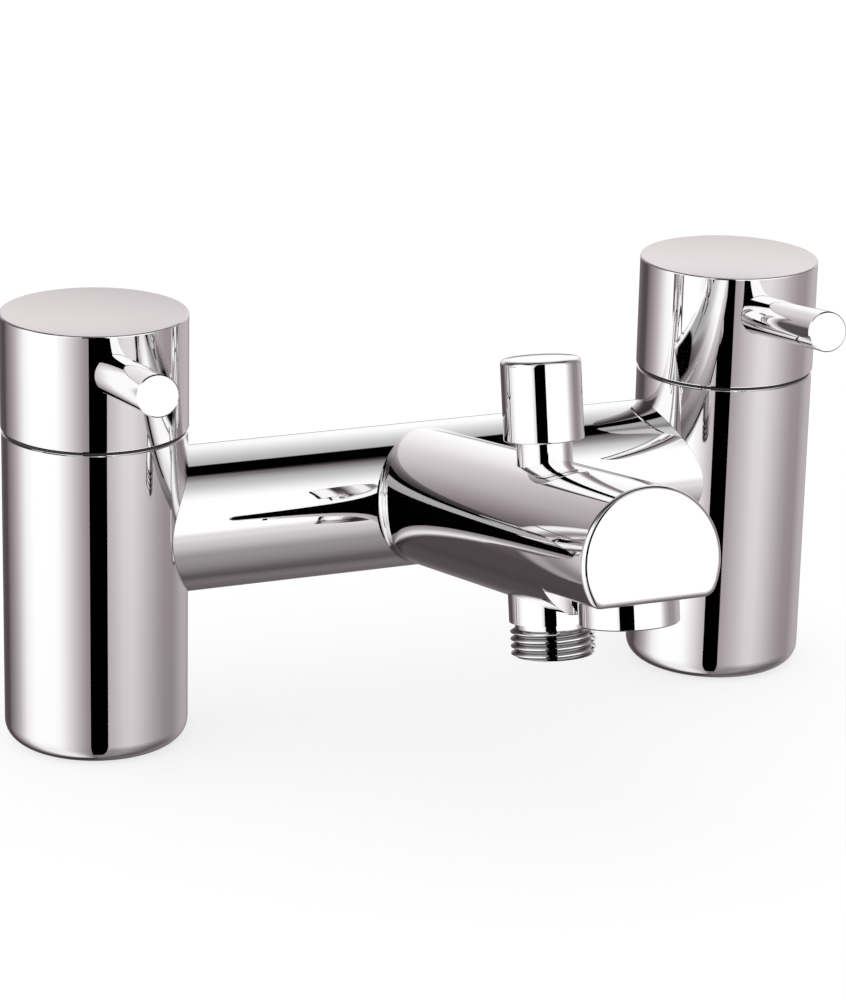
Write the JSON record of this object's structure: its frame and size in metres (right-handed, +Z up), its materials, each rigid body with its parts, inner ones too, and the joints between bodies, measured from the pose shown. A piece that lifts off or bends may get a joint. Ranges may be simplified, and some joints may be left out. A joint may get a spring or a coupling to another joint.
{
  "type": "bath shower mixer",
  "caption": "Deck-mounted bath shower mixer: pillars on a bridge, lever handles, raised spout with pull-up diverter, aerator and threaded shower outlet.",
  "frame": {"origin": "On the bath deck, midway between the two pillar axes.", "axes": "+X along the bridge from the hot to the cold pillar, spout to -Y, +Z up."},
  "size_m": [0.228, 0.1652, 0.1168],
  "materials": {
    "polished_chrome": "polished",
    "brass": "machined",
    "ceramic": "lapped ceramic",
    "rubber": "matt",
    "nylon": "matt",
    "black_nylon": "matt",
    "fibre": "matt",
    "spring_steel": "drawn",
    "moulded_plastic": "moulded"
  },
  "bodies": {
    "mixer_body": {"left_pillar": "polished_chrome", "right_pillar": "polished_chrome", "bridge_tube": "polished_chrome", "spout_tube": "polished_chrome", "diverter_body": "polished_chrome", "spout_nose": "polished_chrome", "diverter_neck": "polished_chrome", "shower_outlet_nipple": "polished_chrome", "aerator_housing": "polished_chrome", "left_valve_bonnet": "brass", "left_bonnet_washer": "fibre", "left_seat_seal": "rubber", "left_fixed_disc": "ceramic", "left_slip_ring": "black_nylon", "right_valve_bonnet": "brass", "right_bonnet_washer": "fibre", "right_seat_seal": "rubber", "right_fixed_disc": "ceramic", "right_slip_ring": "black_nylon", "rod_o_ring": "rubber", "outlet_o_ring": "rubber", "aerator_gasket": "rubber", "return_spring": "spring_steel", "aerator_insert": "moulded_plastic"},
    "left_handle": {"left_handle_shell": "polished_chrome", "left_lever": "polished_chrome", "left_spline_insert": "brass", "left_spindle": "brass", "left_spindle_o_rings": "rubber", "left_thrust_washer": "nylon", "left_circlip": "spring_steel", "left_moving_disc": "ceramic"},
    "right_handle": {"right_handle_shell": "polished_chrome", "right_lever": "polished_chrome", "right_spline_insert": "brass", "right_spindle": "brass", "right_spindle_o_rings": "rubber", "right_thrust_washer": "nylon", "right_circlip": "spring_steel", "right_moving_disc": "ceramic"},
    "diverter": {"diverter_knob": "polished_chrome", "diverter_rod": "brass", "diverter_piston": "brass", "lower_seat_washer": "rubber", "upper_seat_washer": "rubber", "rod_nut": "brass"}
  },
  "joints": [
    {"name": "left_valve_turn", "type": "hinge", "parent": "mixer_body", "child": "left_handle", "pos_m": [-0.09, 0, 0.0992], "axis": [0, 0, 1], "range_deg": [-90, 0]},
    {"name": "right_valve_turn", "type": "hinge", "parent": "mixer_body", "child": "right_handle", "pos_m": [0.09, 0, 0.0992], "axis": [0, 0, 1], "range_deg": [0, 90]},
    {"name": "diverter_lift", "type": "slide", "parent": "mixer_body", "child": "diverter", "axis": [0, 0.1822, 0.9833], "range_m": [0, 0.0067], "stiffness_N_per_m": 150, "springref_m": -0.012, "deforming": ["return_spring"]}
  ]
}
